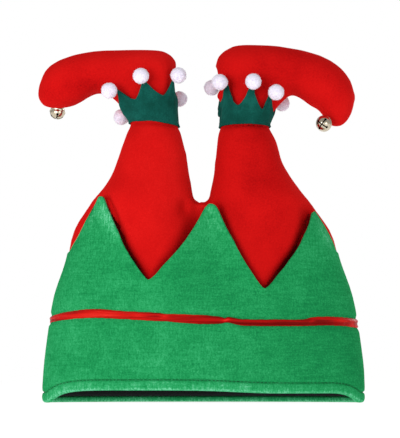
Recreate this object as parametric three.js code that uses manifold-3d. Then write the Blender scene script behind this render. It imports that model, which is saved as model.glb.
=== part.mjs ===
// Elf legs hat: a plush cap whose crown grows into a pair of stuffed, upturned elf legs.
// A green band with a pointed top edge wraps the red crown, a satin ribbon circles the band, a black
// lining faces the head hollow, and each ankle wears a felt cuff with a pompom on every point and a
// jingle bell on the toe.
// Units are millimetres, +Z is up and the front faces -Y. The hat rests on its hem at Z = 0, and left
// and right are the viewer's, seen from the front.

import * as THREE from "three";
import { mergeVertices } from "three/addons/utils/BufferGeometryUtils.js";
import Module from "manifold-3d";

const wasm = await Module();
wasm.setup();

// Driving dimensions
const CLEARANCE = 0.5; // between neighbouring pieces
const PLUSH = 2.5; // thickness of the green plush
const CROWN_WALL = 2.0; // red plush wall round the head hollow
const LINING = 1.0; // black lining
const FELT = 1.6; // ankle cuffs
const CROTCH_HEIGHT = 172.5; // where the crown ends and the two legs begin
const HOLLOW_HEIGHT = 138; // top of the head hollow, inside the lining
const HEM_ROLL = 8.8; // hem edge to its line of stitching
const HEM_TURN = 4.5; // depth of plush turned to the inside
const HEM_FADE = 60; // the hem's arch dies out at this height
const RIBBON_THICKNESS = 0.8;
const RIBBON_NIP = 1.0; // the ribbon draws the plush in by this much
const RIBBON_GROOVE = 9.0; // width of the groove that it lies in
const POMPOM_DIAMETER = 14.4;
const BELL = { diameter: 13.4, wall: 0.7, seam: 0.5, slot: 1.5, shankRadius: 1.3, shankWire: 0.55 };

// Faceting
const LIMB_SIDES = 16;
const CUFF_COLUMNS_PER_FLANK = 3;

// The red crown's oval sections, from the rim up to the crotch
const BODY = [
  { z: 0, axis: 3.0, halfWidth: 134.8, halfDepth: 47.0 },
  { z: 25, axis: 3.0, halfWidth: 135.0, halfDepth: 47.0 },
  { z: 54, axis: 3.1, halfWidth: 132.2, halfDepth: 46.6 },
  { z: 85, axis: 2.9, halfWidth: 127.5, halfDepth: 45.6 },
  { z: 116, axis: 2.7, halfWidth: 120.0, halfDepth: 44.2 },
  { z: 142, axis: 2.2, halfWidth: 112.4, halfDepth: 42.0 },
  { z: 173, axis: 0.8, halfWidth: 95.2, halfDepth: 39.0 },
];

// How far the hem stands off the floor, going round from the back. It rests at the back and both sides.
const HEM_LIFT = [
  { around: -180, lift: 0 },
  { around: -120, lift: 0 },
  { around: -78, lift: 0 },
  { around: -71, lift: 3.0 },
  { around: -64, lift: 6.4 },
  { around: -56, lift: 8.8 },
  { around: -46, lift: 10.2 },
  { around: -26, lift: 10.5 },
  { around: 0, lift: 10.2 },
  { around: 22, lift: 8.2 },
  { around: 44, lift: 8.0 },
  { around: 56, lift: 7.8 },
  { around: 64, lift: 6.0 },
  { around: 71, lift: 3.0 },
  { around: 78, lift: 0 },
  { around: 120, lift: 0 },
  { around: 180, lift: 0 },
];

// The pointed top edge of one panel of the band, from its left side seam to its right one. The front and the
// back panel are cut alike.
const PANEL_EDGE = [
  { around: -90, height: 128 },
  { around: -80, height: 127.5 },
  { around: -72, height: 131 },
  { around: -67, height: 150 },
  { around: -65, height: 170 },
  { around: -62, height: 175.3 },
  { around: -52.7, height: 167.7 },
  { around: -44, height: 155.5 },
  { around: -36, height: 139 },
  { around: -27.4, height: 116.9 },
  { around: -21.6, height: 104 },
  { around: -14, height: 117.8 },
  { around: -7, height: 136 },
  { around: -0.8, height: 155.9 },
  { around: 2.9, height: 166.6 },
  { around: 5.6, height: 167.2 },
  { around: 9.3, height: 150 },
  { around: 14.2, height: 125.9 },
  { around: 19.5, height: 105 },
  { around: 23.2, height: 96 },
  { around: 32, height: 112 },
  { around: 40.1, height: 127.5 },
  { around: 48.5, height: 143.5 },
  { around: 57, height: 154.5 },
  { around: 67, height: 163.3 },
  { around: 71.8, height: 163 },
  { around: 73.5, height: 150 },
  { around: 76, height: 131 },
  { around: 83, height: 127.8 },
];

// The ribbon's middle line and its width between puckers, going round from the back
const RIBBON_LINE = [
  { around: -180, z: 70, width: 7.6 },
  { around: -90, z: 71.6, width: 6.4 },
  { around: -50, z: 75, width: 7.8 },
  { around: -27, z: 72.9, width: 7.0 },
  { around: 0, z: 69.5, width: 7.8 },
  { around: 30, z: 66.8, width: 5.8 },
  { around: 54, z: 69, width: 7.8 },
  { around: 90, z: 68, width: 7.8 },
  { around: 180, z: 70, width: 7.6 },
];

// The crotch section: one oval for each thigh, joined by a web
const THIGH = { centre: 50.2, halfWidth: 45.0, halfDepth: 38.0, web: 8 };
const THIGH_START = 112; // the crown's oval starts to part into two thighs here

// Sections of each leg from the crotch to the inside of the foot
const LEFT_SHANK = [
  { z: 173, x: -49.3, halfWidth: 45.7, halfDepth: 38.0 },
  { z: 184, x: -45.8, halfWidth: 39.7, halfDepth: 35.0 },
  { z: 194.5, x: -43.9, halfWidth: 34.6, halfDepth: 32.0 },
  { z: 205, x: -42.8, halfWidth: 31.4, halfDepth: 29.5 },
  { z: 220, x: -41.2, halfWidth: 28.2, halfDepth: 27.0 },
  { z: 233, x: -40.4, halfWidth: 24.5, halfDepth: 24.2 },
  { z: 236.5, x: -40.0, halfWidth: 23.4, halfDepth: 23.2 },
  { z: 239.6, x: -39.8, halfWidth: 19.2, halfDepth: 20.0 },
  { z: 247, x: -41.2, halfWidth: 20.4, halfDepth: 20.0 },
  { z: 254, x: -43.6, halfWidth: 22.8, halfDepth: 20.0 },
  { z: 262, x: -47.4, halfWidth: 26.6, halfDepth: 20.4 },
  { z: 270, x: -51.5, halfWidth: 30.5, halfDepth: 20.4 },
  { z: 286, x: -50.0, halfWidth: 22.0, halfDepth: 18.0 },
];
const RIGHT_SHANK = [
  { z: 173, x: 51.1, halfWidth: 44.7, halfDepth: 38.0 },
  { z: 184, x: 47.8, halfWidth: 39.5, halfDepth: 35.0 },
  { z: 194.5, x: 45.4, halfWidth: 34.4, halfDepth: 32.0 },
  { z: 205, x: 42.8, halfWidth: 30.6, halfDepth: 29.5 },
  { z: 220, x: 40.6, halfWidth: 26.8, halfDepth: 27.0 },
  { z: 232.5, x: 38.8, halfWidth: 23.7, halfDepth: 24.0 },
  { z: 235.8, x: 38.4, halfWidth: 22.7, halfDepth: 23.0 },
  { z: 238.6, x: 38.3, halfWidth: 19.4, halfDepth: 20.0 },
  { z: 247, x: 40.0, halfWidth: 20.8, halfDepth: 20.0 },
  { z: 255, x: 43.2, halfWidth: 23.8, halfDepth: 20.0 },
  { z: 262, x: 46.2, halfWidth: 26.6, halfDepth: 20.4 },
  { z: 270, x: 51.0, halfWidth: 31.0, halfDepth: 20.4 },
  { z: 286, x: 50.0, halfWidth: 24.0, halfDepth: 18.0 },
];

// Sections of each foot along its middle line, from the heel to the toe; the sole faces up
const LEFT_FOOT = [
  { x: -21.8, z: 286.0, halfHeight: 0, halfDepth: 0 },
  { x: -24.2, z: 286.8, halfHeight: 14.2, halfDepth: 14.5 },
  { x: -32.5, z: 286.8, halfHeight: 20.4, halfDepth: 22.5 },
  { x: -52.8, z: 287.2, halfHeight: 21.0, halfDepth: 25.0 },
  { x: -72.1, z: 287.0, halfHeight: 20.8, halfDepth: 25.0 },
  { x: -90.1, z: 288.2, halfHeight: 19.0, halfDepth: 23.8 },
  { x: -103.5, z: 284.6, halfHeight: 20.3, halfDepth: 24.6 },
  { x: -117.7, z: 278.2, halfHeight: 21.4, halfDepth: 24.2 },
  { x: -129.4, z: 272.8, halfHeight: 18.4, halfDepth: 20.5 },
  { x: -138.0, z: 270.6, halfHeight: 12.6, halfDepth: 13.5 },
  { x: -142.9, z: 270.6, halfHeight: 0, halfDepth: 0 },
];
const RIGHT_FOOT = [
  { x: 15.2, z: 284.0, halfHeight: 0, halfDepth: 0 },
  { x: 17.0, z: 285.0, halfHeight: 11.0, halfDepth: 12.0 },
  { x: 21.6, z: 286.8, halfHeight: 17.6, halfDepth: 18.5 },
  { x: 30.0, z: 288.4, halfHeight: 22.0, halfDepth: 23.2 },
  { x: 44.0, z: 289.3, halfHeight: 23.0, halfDepth: 25.0 },
  { x: 65.5, z: 289.9, halfHeight: 21.9, halfDepth: 25.0 },
  { x: 83.1, z: 289.0, halfHeight: 19.6, halfDepth: 24.2 },
  { x: 98.0, z: 283.6, halfHeight: 21.0, halfDepth: 24.6 },
  { x: 111.1, z: 274.2, halfHeight: 21.8, halfDepth: 24.0 },
  { x: 118.5, z: 262.9, halfHeight: 19.0, halfDepth: 20.5 },
  { x: 118.6, z: 251.9, halfHeight: 13.9, halfDepth: 15.5 },
  { x: 116.4, z: 243.4, halfHeight: 8.4, halfDepth: 9.5 },
  { x: 115.2, z: 237.8, halfHeight: 0, halfDepth: 0 },
];

// Each cuff: its seam round the ankle, and its points going round from the back. A row gives a point's place
// round the seam, the middle of its pompom, and the turn round the leg and height of the notch after it.
const LEFT_CUFF = {
  seam: { x: -39.8, z: 241, halfWidth: 21.6, halfDepth: 22.4, tilt: -0.077 },
  points: [
    { around: -168, x: -50.5, y: 33.0, z: 281.5, notchTurn: -140, notchHeight: 258 },
    { around: -112, x: -69.7, y: 16.0, z: 251.1, notchTurn: -88, notchHeight: 250 },
    { around: -58, x: -78.0, y: -30.0, z: 266.0, notchTurn: -19, notchHeight: 260.2 },
    { around: -8, x: -50.7, y: -33.0, z: 278.2, notchTurn: 33, notchHeight: 264.1 },
    { around: 50, x: -18.7, y: -21.0, z: 281.2, notchTurn: 88, notchHeight: 257 },
    { around: 124, x: -18.4, y: 21.0, z: 268.4, notchTurn: 158, notchHeight: 260 },
  ],
};
const RIGHT_CUFF = {
  seam: { x: 38.4, z: 239, halfWidth: 21.9, halfDepth: 22.4, tilt: 0 },
  points: [
    { around: 172, x: 44.0, y: 33.0, z: 278, notchTurn: -152, notchHeight: 256 },
    { around: -118, x: 10.4, y: 19.0, z: 278.1, notchTurn: -96, notchHeight: 253 },
    { around: -50, x: 17.0, y: -26.0, z: 274.2, notchTurn: -23, notchHeight: 255.2 },
    { around: 10, x: 45.7, y: -33.6, z: 273.2, notchTurn: 27, notchHeight: 252 },
    { around: 58, x: 65.3, y: -31.0, z: 264.4, notchTurn: 88, notchHeight: 249.5 },
    { around: 114, x: 73.4, y: 26.0, z: 265.3, notchTurn: 150, notchHeight: 252 },
  ],
};

// The bells: their middles, and the way each shank points, into the toe
const LEFT_BELL = { at: [-127.2, 23.2, 256.2], shank: [0.1, -0.7, 0.7] };
const RIGHT_BELL = { at: [107.3, -13.9, 240.2], shank: [0.66, 0.62, 0.43] };

const FINISHES = {
  green_plush: new THREE.MeshStandardMaterial({ color: 0x27995a, roughness: 0.95, metalness: 0 }),
  red_plush: new THREE.MeshStandardMaterial({ color: 0xd0141a, roughness: 0.95, metalness: 0 }),
  black_lining: new THREE.MeshStandardMaterial({ color: 0x17191b, roughness: 0.8, metalness: 0 }),
  satin_ribbon: new THREE.MeshStandardMaterial({ color: 0xc01a1e, roughness: 0.35, metalness: 0 }),
  green_felt: new THREE.MeshStandardMaterial({ color: 0x10524a, roughness: 1, metalness: 0 }),
  white_pompom: new THREE.MeshStandardMaterial({ color: 0xe6e0ee, roughness: 1, metalness: 0 }),
  gold_bell: new THREE.MeshStandardMaterial({ color: 0xcdb98c, roughness: 0.2, metalness: 1 }),
};

// Tables and curves

// A smooth function for each named column of a table, read along its key column.
function columns(table, key) {
  const stations = table.map((row) => row[key]);
  const read = {};
  for (const name of Object.keys(table[0])) {
    const values = table.map((row) => row[name]);
    const curve = new THREE.CubicInterpolant(stations, values, 1);
    read[name] = (at) => curve.evaluate(at)[0];
  }
  return read;
}

const radians = THREE.MathUtils.degToRad;
const body = columns(BODY, "z");
const ribbonLine = columns(RIBBON_LINE, "around");
const hem = columns(HEM_LIFT, "around");

// Solids from rings of points

// A closed solid through rings that each hold the same count of points. The rings wrap back on the first
// one, or the first and last ring are each closed by a fan.
function loft(rings, wrap = false) {
  const count = rings[0].length;
  const points = rings.flat();
  const triangles = [];
  const at = (ring, side) => (ring % rings.length) * count + (side % count);
  for (let ring = 0; ring < rings.length - (wrap ? 0 : 1); ring++)
    for (let side = 0; side < count; side++) {
      const [a, b] = [at(ring, side), at(ring, side + 1)];
      const [c, d] = [at(ring + 1, side), at(ring + 1, side + 1)];
      triangles.push(a, b, d, a, d, c);
    }
  const fan = (ring, outwards) => {
    const middle = points.push(centre(rings[ring])) - 1;
    for (let side = 0; side < count; side++) {
      const edge = [at(ring, side), at(ring, side + 1)];
      triangles.push(middle, ...(outwards ? edge : edge.reverse()));
    }
  };
  if (!wrap) {
    fan(0, false);
    fan(rings.length - 1, true);
  }
  return new THREE.BufferGeometry().setFromPoints(points).setIndex(triangles);
}

function centre(ring) {
  return ring.reduce((sum, point) => sum.add(point), new THREE.Vector3()).divideScalar(ring.length);
}

function toSolid(geometry) {
  const bare = new THREE.BufferGeometry();
  bare.setAttribute("position", geometry.getAttribute("position"));
  bare.setIndex(geometry.getIndex());
  const merged = mergeVertices(bare, 1e-4);
  const vertProperties = merged.getAttribute("position").array;
  const triVerts = new Uint32Array(merged.getIndex().array);
  return new wasm.Manifold(new wasm.Mesh({ numProp: 3, vertProperties, triVerts }));
}

function toGeometry(solid) {
  const mesh = solid.getMesh();
  return new THREE.BufferGeometry()
    .setAttribute("position", new THREE.BufferAttribute(mesh.vertProperties, 3))
    .setIndex(new THREE.BufferAttribute(mesh.triVerts, 1));
}

function piece(name, geometry, finish) {
  geometry.computeVertexNormals();
  const mesh = new THREE.Mesh(geometry, finish);
  mesh.name = name;
  return mesh;
}

// The head piece

function hemLift(around) {
  return Math.max(0, hem.lift(around));
}

// A point round the body, in degrees from the front, at a height and an offset out from the crown's face.
// Towards the crotch the oval swells over the two thighs; a creased one also sinks in between them.
function bodyPoint(around, z, offset, creased = false) {
  const turn = radians(around);
  const settled = z + hemLift(around) * (1 - THREE.MathUtils.smoothstep(z, HEM_ROLL, HEM_FADE));
  const x = body.axis(z) + (body.halfWidth(z) + offset) * Math.sin(turn);
  const oval = (body.halfDepth(z) + offset) * Math.abs(Math.cos(turn));
  const fromAxis = Math.abs(x - body.axis(z));
  const across = (fromAxis - THIGH.centre) / (THIGH.halfWidth + offset);
  const thigh = (THIGH.halfDepth + offset) * Math.sqrt(Math.max(0, 1 - across * across));
  const between = fromAxis < THIGH.centre && creased;
  const parted = between ? Math.max(thigh, THIGH.web + offset) : Math.max(thigh, oval);
  const parting = THREE.MathUtils.smoothstep(z, THIGH_START, CROTCH_HEIGHT);
  const depth = THREE.MathUtils.lerp(oval, parted, parting);
  return new THREE.Vector3(x, -Math.sign(Math.cos(turn)) * depth, settled);
}

function ringOf(count, place) {
  return Array.from({ length: count }, (_, i) => place((i * 360) / count - 180));
}

function evenly(from, to, count) {
  return Array.from({ length: count }, (_, i) => THREE.MathUtils.lerp(from, to, i / (count - 1)));
}

// The angles of the band's columns and the height of its top edge there, over the front and the back panel.
function pointedEdge() {
  const panel = (turn) =>
    PANEL_EDGE.map(({ around, height }) => {
      const wrapped = THREE.MathUtils.euclideanModulo(around + turn + 180, 360) - 180;
      return { around: wrapped, top: height };
    });
  return [...panel(0), ...panel(180)];
}

const EDGE = pointedEdge();

// A ring round the body, with a point for each column of the band.
function bodyRing(place) {
  return EDGE.map(({ around }) => place(around));
}

function bandGeometry() {
  const inner = CLEARANCE + 0.2;
  const outer = CLEARANCE + PLUSH;
  const nipped = outer - RIBBON_NIP;
  const turned = inner - PLUSH - 0.7;
  const edgeRound = 1.2;
  const straightTop = 90; // all of the band's sections are whole up to here
  const standOff = 0.7; // the points stand a little off the crown
  const rings = EDGE.map(({ around, top }) => {
    const ribbon = ribbonLine.z(around);
    const low = THREE.MathUtils.lerp(straightTop, top, 0.35);
    const high = THREE.MathUtils.lerp(straightTop, top, 0.7);
    const profile = [
      { z: 0, offset: outer - edgeRound },
      { z: edgeRound, offset: outer },
      { z: HEM_ROLL * 0.55, offset: outer + 0.5 },
      { z: HEM_ROLL, offset: outer - 0.8 },
      { z: HEM_ROLL + 3, offset: outer },
      { z: ribbon - RIBBON_GROOVE * 1.4, offset: outer },
      { z: ribbon - RIBBON_GROOVE / 2, offset: nipped },
      { z: ribbon + RIBBON_GROOVE / 2, offset: nipped },
      { z: straightTop, offset: outer },
      { z: low, offset: outer + standOff },
      { z: high, offset: outer + standOff },
      { z: top - edgeRound, offset: outer + standOff },
      { z: top, offset: outer + standOff - edgeRound },
      { z: top - edgeRound, offset: inner + standOff },
      { z: high, offset: inner + standOff },
      { z: low, offset: inner + standOff },
      { z: straightTop, offset: inner },
      { z: 68, offset: inner },
      { z: 40, offset: inner },
      { z: 20, offset: inner },
      { z: HEM_TURN + 1, offset: inner },
      { z: HEM_TURN, offset: turned },
      { z: edgeRound, offset: turned },
      { z: 0, offset: turned + edgeRound },
    ];
    return profile.map(({ z, offset }) => bodyPoint(around, z, offset)).reverse();
  });
  return loft(rings, true);
}

function ribbonGeometry() {
  const inner = CLEARANCE * 2 + PLUSH - RIBBON_NIP;
  const outer = inner + RIBBON_THICKNESS;
  const rings = bodyRing((around) => {
    const z = ribbonLine.z(around);
    const half = ribbonLine.width(around) / 2;
    const profile = [
      [z - half, outer],
      [z + half, outer],
      [z + half, inner],
      [z - half, inner],
    ];
    return profile.map(([height, offset]) => bodyPoint(around, height, offset)).reverse();
  });
  return loft(rings, true);
}

// A dome inside the body: rings from the rim's height up to a rounded top.
function domeRings(bottom, top, offset, spring) {
  const rises = [0, 0.45, 0.76, 0.94, 1];
  const heights = [bottom, ...rises.map((rise) => THREE.MathUtils.lerp(spring, top, rise))];
  return heights.map((z) => {
    const rise = Math.max(0, (z - spring) / (top - spring));
    const shrink = Math.sqrt(1 - Math.min(rise * rise, 0.96));
    return bodyRing((around) => {
      const point = bodyPoint(around, z, offset);
      const axis = body.axis(z);
      return point.set(axis + (point.x - axis) * shrink, point.y * shrink, point.z);
    });
  });
}

const DOME_SPRING = 84; // the hollow's walls start to close in here
const SEWN_EDGE = HEM_TURN + 1.5; // the crown and the lining are sewn in just above the turned hem

function liningGeometry() {
  const outerFace = -CROWN_WALL - CLEARANCE;
  const inside = domeRings(SEWN_EDGE, HOLLOW_HEIGHT, outerFace - LINING, DOME_SPRING).reverse();
  const outside = domeRings(SEWN_EDGE, HOLLOW_HEIGHT + LINING, outerFace, DOME_SPRING);
  return loft([...inside, ...outside]);
}

function crownGeometry() {
  const stuffingTop = HOLLOW_HEIGHT + LINING + CLEARANCE;
  const inside = domeRings(SEWN_EDGE, stuffingTop, -CROWN_WALL, DOME_SPRING).reverse();
  const heights = [SEWN_EDGE, 20, 54, 90, 118, 142, 160, CROTCH_HEIGHT];
  const outside = heights.map((z) => bodyRing((around) => bodyPoint(around, z, 0, true)));
  return loft([...inside, ...outside]);
}

// The legs

// A leg is the loft of its shank joined to the loft of its foot. Swell moves every face outwards.
function legSolid(shank, foot, swell = 0) {
  return toSolid(loft(shankRings(shank, swell))).add(toSolid(loft(footRings(foot, swell))));
}

function shankRings(rows, swell) {
  return rows.map((row) =>
    ringOf(LIMB_SIDES, (around) => {
      const turn = radians(around);
      const x = row.x + (row.halfWidth + swell) * Math.sin(turn);
      return new THREE.Vector3(x, -(row.halfDepth + swell) * Math.cos(turn), row.z);
    }),
  );
}

// Rings square to the foot's middle line; the rows with no height are the heel's and the toe's ends.
function footRings(rows, swell) {
  const line = new THREE.CatmullRomCurve3(rows.map((row) => new THREE.Vector3(row.x, 0, row.z)));
  const numbered = rows.map((row, index) => ({ ...row, index }));
  const read = columns(numbered, "index");
  const last = rows.length - 1;
  const stations = evenly(0.3, last - 0.3, 2 * last - 2);
  return stations.map((index) => {
    const at = line.getPoint(index / last);
    const along = line.getTangent(index / last);
    const up = new THREE.Vector3(-along.z, 0, along.x);
    return ringOf(LIMB_SIDES, (around) => {
      const turn = radians(around);
      const rise = (Math.max(2, read.halfHeight(index)) + swell) * Math.cos(turn);
      const side = -(Math.max(2, read.halfDepth(index)) + swell) * Math.sin(turn);
      return at.clone().addScaledVector(up, rise).add(new THREE.Vector3(0, side, 0));
    });
  });
}

// The cuffs

// A felt wall that rises from its seam round the ankle to a row of points. Each ends behind its pompom.
function cuffGeometry({ seam, points }, shank) {
  const ankle = new THREE.Vector3(seam.x, 0, seam.z);
  const onSeam = (around) => {
    const turn = radians(around);
    const x = seam.x + seam.halfWidth * Math.sin(turn);
    const z = seam.z + seam.tilt * (x - seam.x);
    return new THREE.Vector3(x, -seam.halfDepth * Math.cos(turn), z);
  };
  const leg = columns(shank, "z");
  const offLeg = CLEARANCE + FELT + 0.8;
  const offPompom = POMPOM_DIAMETER * 0.5 + CLEARANCE;
  const edge = points.map(({ around, x, y, z, notchTurn, notchHeight }) => {
    const inwards = new THREE.Vector3((seam.x - x) * 0.8, -y, 0).setLength(offPompom);
    const turn = radians(notchTurn);
    const notchX = leg.x(notchHeight) + (leg.halfWidth(notchHeight) + offLeg) * Math.sin(turn);
    const notchY = -(leg.halfDepth(notchHeight) + offLeg) * Math.cos(turn);
    return {
      around,
      tip: new THREE.Vector3(x, y, z - 2).add(inwards),
      notch: new THREE.Vector3(notchX, notchY, notchHeight),
    };
  });
  const rings = [];
  edge.forEach(({ around, tip, notch }, i) => {
    const next = edge[(i + 1) % edge.length];
    const span = THREE.MathUtils.euclideanModulo(next.around - around, 360);
    const flanks = [
      { from: tip, to: notch, start: around },
      { from: notch, to: next.tip, start: around + span / 2 },
    ];
    for (const { from, to, start } of flanks)
      for (let step = 0; step < CUFF_COLUMNS_PER_FLANK; step++) {
        const share = step / CUFF_COLUMNS_PER_FLANK;
        const foot = onSeam(start + (span / 2) * share);
        rings.push(feltSection(ankle, foot, from.clone().lerp(to, share)));
      }
  });
  return loft(rings, true);
}

// One section of the felt wall, from the seam at its foot to its top edge.
function feltSection(ankle, foot, top) {
  const outwards = foot.clone().sub(ankle).setZ(0).setLength(FELT);
  const middle = foot.clone().lerp(top, 0.5);
  const outer = [foot, middle, top];
  const inner = outer.map((point) => point.clone().sub(outwards));
  return [...inner, ...outer.toReversed()];
}

// The pompoms and bells

// A ball of yarn: a tuft stands on every face of a small head.
function pompomGeometry(seed) {
  const head = new THREE.OctahedronGeometry(POMPOM_DIAMETER * 0.45, 1).getAttribute("position");
  const points = [];
  for (let face = 0; face < head.count; face += 3) {
    const corners = [0, 1, 2].map((i) => new THREE.Vector3().fromBufferAttribute(head, face + i));
    const wobble = 0.03 * Math.sin(seed * 7.1 + face * 12.9);
    const tuft = centre(corners).setLength(POMPOM_DIAMETER * (0.47 + wobble));
    corners.forEach((corner, i) => points.push(corner, corners[(i + 1) % 3], tuft));
  }
  return mergeVertices(new THREE.BufferGeometry().setFromPoints(points), 1e-3);
}

// A pressed ball with a raised seam round its middle, a cross of slots at the front and a wire shank behind.
function bellGeometry() {
  const radius = BELL.diameter / 2;
  const profile = evenly(-90, 90, 9).map((latitude) => {
    const swell = latitude === 0 ? BELL.seam : 0;
    const turn = radians(latitude);
    return new THREE.Vector2((radius + swell) * Math.cos(turn), radius * Math.sin(turn));
  });
  profile.at(0).setX(0);
  profile.at(-1).setX(0);
  const ball = toSolid(new THREE.LatheGeometry(profile, 12));
  const hollow = toSolid(new THREE.SphereGeometry(radius - BELL.wall, 12, 8));
  const slotDepth = radius * 0.72;
  const slots = [0, 90].map((turn) => {
    const slot = new THREE.BoxGeometry(radius * 1.5, slotDepth, BELL.slot);
    return toSolid(slot.translate(0, -radius, 0).rotateY(radians(turn)));
  });
  const shank = new THREE.TorusGeometry(BELL.shankRadius, BELL.shankWire, 5, 10);
  const shankReach = radius + BELL.shankRadius * 0.2;
  return toGeometry(
    slots
      .reduce((shell, slot) => shell.subtract(slot), ball.subtract(hollow))
      .add(toSolid(shank.translate(0, shankReach, 0)).subtract(hollow)),
  );
}

// The assembly

function headPiece() {
  const group = new THREE.Group();
  group.add(piece("band", bandGeometry(), FINISHES.green_plush));
  group.add(piece("ribbon", ribbonGeometry(), FINISHES.satin_ribbon));
  group.add(piece("crown", crownGeometry(), FINISHES.red_plush));
  group.add(piece("lining", liningGeometry(), FINISHES.black_lining));
  return group;
}

function limb(side, shank, foot, cuff, bell) {
  const group = new THREE.Group();
  group.add(piece(`${side}_leg`, toGeometry(legSolid(shank, foot)), FINISHES.red_plush));
  const felt = toSolid(cuffGeometry(cuff, shank)).subtract(legSolid(shank, foot, CLEARANCE));
  group.add(piece(`${side}_cuff`, toGeometry(felt), FINISHES.green_felt));
  cuff.points.forEach(({ x, y, z }, i) => {
    const pompom = piece(`${side}_pompom_${i + 1}`, pompomGeometry(i), FINISHES.white_pompom);
    pompom.position.set(x, y, z);
    group.add(pompom);
  });
  const jingle = piece(`${side}_bell`, bellGeometry(), FINISHES.gold_bell);
  jingle.position.set(...bell.at);
  jingle.quaternion.setFromUnitVectors(
    new THREE.Vector3(0, 1, 0),
    new THREE.Vector3(...bell.shank).normalize(),
  );
  group.add(jingle);
  return group;
}

const hat = new THREE.Group();
hat.add(headPiece());
hat.add(limb("left", LEFT_SHANK, LEFT_FOOT, LEFT_CUFF, LEFT_BELL));
hat.add(limb("right", RIGHT_SHANK, RIGHT_FOOT, RIGHT_CUFF, RIGHT_BELL));

export default hat;
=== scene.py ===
import math
import random

import bmesh
import bpy
from mathutils import Matrix, Vector, noise
from mathutils.bvhtree import BVHTree
from mathutils.kdtree import KDTree


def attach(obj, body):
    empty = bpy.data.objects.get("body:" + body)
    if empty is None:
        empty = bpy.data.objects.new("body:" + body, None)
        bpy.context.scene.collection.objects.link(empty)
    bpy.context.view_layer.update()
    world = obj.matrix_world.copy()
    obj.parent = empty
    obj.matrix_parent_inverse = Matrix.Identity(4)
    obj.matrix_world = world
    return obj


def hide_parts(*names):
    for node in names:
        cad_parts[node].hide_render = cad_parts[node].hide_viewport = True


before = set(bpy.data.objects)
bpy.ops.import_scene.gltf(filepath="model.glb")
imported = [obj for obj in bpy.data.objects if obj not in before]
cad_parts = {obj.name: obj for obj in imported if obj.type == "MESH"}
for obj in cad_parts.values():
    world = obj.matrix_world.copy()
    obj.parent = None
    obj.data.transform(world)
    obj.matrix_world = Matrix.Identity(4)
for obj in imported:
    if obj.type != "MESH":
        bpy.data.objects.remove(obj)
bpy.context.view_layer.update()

# The red plush skin: the crown and both upturned legs are one velour cover, sewn from a front and a back
# panel. It is stuffed with loose fibre above the head and all along the legs, so it swells softly.

MM = 0.001
CROTCH_HEIGHT = 172.5
HEM_ROLL = 8.8
HEM_FADE = 60
THIGH_START = 112
THIGH_CENTRE = 50.2
THIGH_HALF_WIDTH = 45.0
THIGH_HALF_DEPTH = 38.0
WEB_HALF_DEPTH = 16
WELD = 0.01
SKIN_THICKNESS = 1.6
SKIN_LOWER_EDGE = 20
SKIN_SPARE = 12
SKIN_COLUMNS = 150
SKIN_ROWS = 44
SKIN_VOXEL = 4.25
LEG_OVERLAP = 1.2
SMOOTHINGS = 3
STUFFING_PRESSURE = 4
STUFFING_STEPS = 20
MOST_SWELL = 2.2
LEFT_ANKLE = -39.8
RIGHT_ANKLE = 38.3
ANKLE_REACH = 26
PANEL_FLATNESS = 5.0
PULL_END = 2
PULL_STEEPNESS = 1.4

# Heights, mm, from where each change starts to where it is complete: the stuffing swells the skin above the
# band, is held again at the cuffs and let go above them, and the legs' panels turn flat and then round again
FREE_ABOVE_BAND = (140, 172)
HELD_AT_CUFF = (232, 238)
FREE_ABOVE_CUFF = (262, 268)
FLAT_ABOVE = (166, 184)
ROUND_ABOVE = (222, 238)

# Oval sections of the crown, mm: height, middle, half width, half depth
BODY = (
    (0, 3.0, 134.8, 47.0),
    (25, 3.0, 135.0, 47.0),
    (54, 3.1, 132.2, 46.6),
    (85, 2.9, 127.5, 45.6),
    (116, 2.7, 120.0, 44.2),
    (142, 2.2, 112.4, 42.0),
    (173, 0.8, 95.2, 39.0),
)

# How far the hem stands off the floor, mm, by degrees round from the front
HEM_LIFT = (
    (-180, 0),
    (-120, 0),
    (-78, 0),
    (-71, 3.0),
    (-64, 6.4),
    (-56, 8.8),
    (-46, 10.2),
    (-26, 10.5),
    (0, 10.2),
    (22, 8.2),
    (44, 8.0),
    (56, 7.8),
    (64, 6.0),
    (71, 3.0),
    (78, 0),
    (120, 0),
    (180, 0),
)

# Small pulls on the sewn cover, mm: the middle's x, y and z, the reach, and the pull's x, y and z
PULLS = (
    (-142, 0, 263, 20, -1.4, 0, -1.0),
    (-94, 0, 266, 14, 0, 0, 2.4),
    (121, 0, 247, 14, 1.0, 0, -1.4),
    (-30, 0, 306, 14, 1.2, 0, 0.2),
    (36, 0, 313, 18, -2.0, 0, 0.8),
    (15, 0, 290, 9, 1.4, 0, 0),
    (64, 0, 227, 18, 2.4, 0, 0),
    (-11, 0, 205, 22, 1.4, 0, 0),
    (-103, 0, 152, 24, -2.6, 0, 0),
    (101, 0, 146, 24, 2.6, 0, 0),
    (-4.8, -11, 177, 9, -1.0, 0, -4.2),
    (7.4, -11, 177, 9, 1.0, 0, -4.2),
    (-4.8, 4, 177, 9, -1.0, 0, -4.2),
    (7.4, 4, 177, 9, 1.0, 0, -4.2),
    (-10, -28, 166, 9, 0, 8.0, 0),
    (18, -5, 267, 9.5, -8.0, 0, 0),
)

# Painted shade and painted light on the red pile: patches painted darker or paler where the light falls less
# or more. x, z, reach across and reach up in mm, and the amount
PAINTED_LIGHT_AND_SHADE_PATCHES = (
    (55, 190, 45, 75, -0.24),
    (75, 285, 60, 28, -0.20),
    (-92, 284, 22, 14, -0.16),
    (82, 185, 14, 30, 0.14),
    (-105, 266, 45, 16, -0.30),
    (-16, 205, 12, 40, 0.16),
    (2, 165, 6, 8, 0.20),
)


def smooth_step(value, low, high):
    share = min(max((value - low) / (high - low), 0), 1)
    return share * share * (3 - 2 * share)


def mix(a, b, share):
    return a + (b - a) * share


def stretch_of(rows, at):
    """The place of the row that ends the stretch of a table where a value of its first column lies."""
    upper = 1
    while upper < len(rows) - 1 and rows[upper][0] < at:
        upper += 1
    return upper


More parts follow.
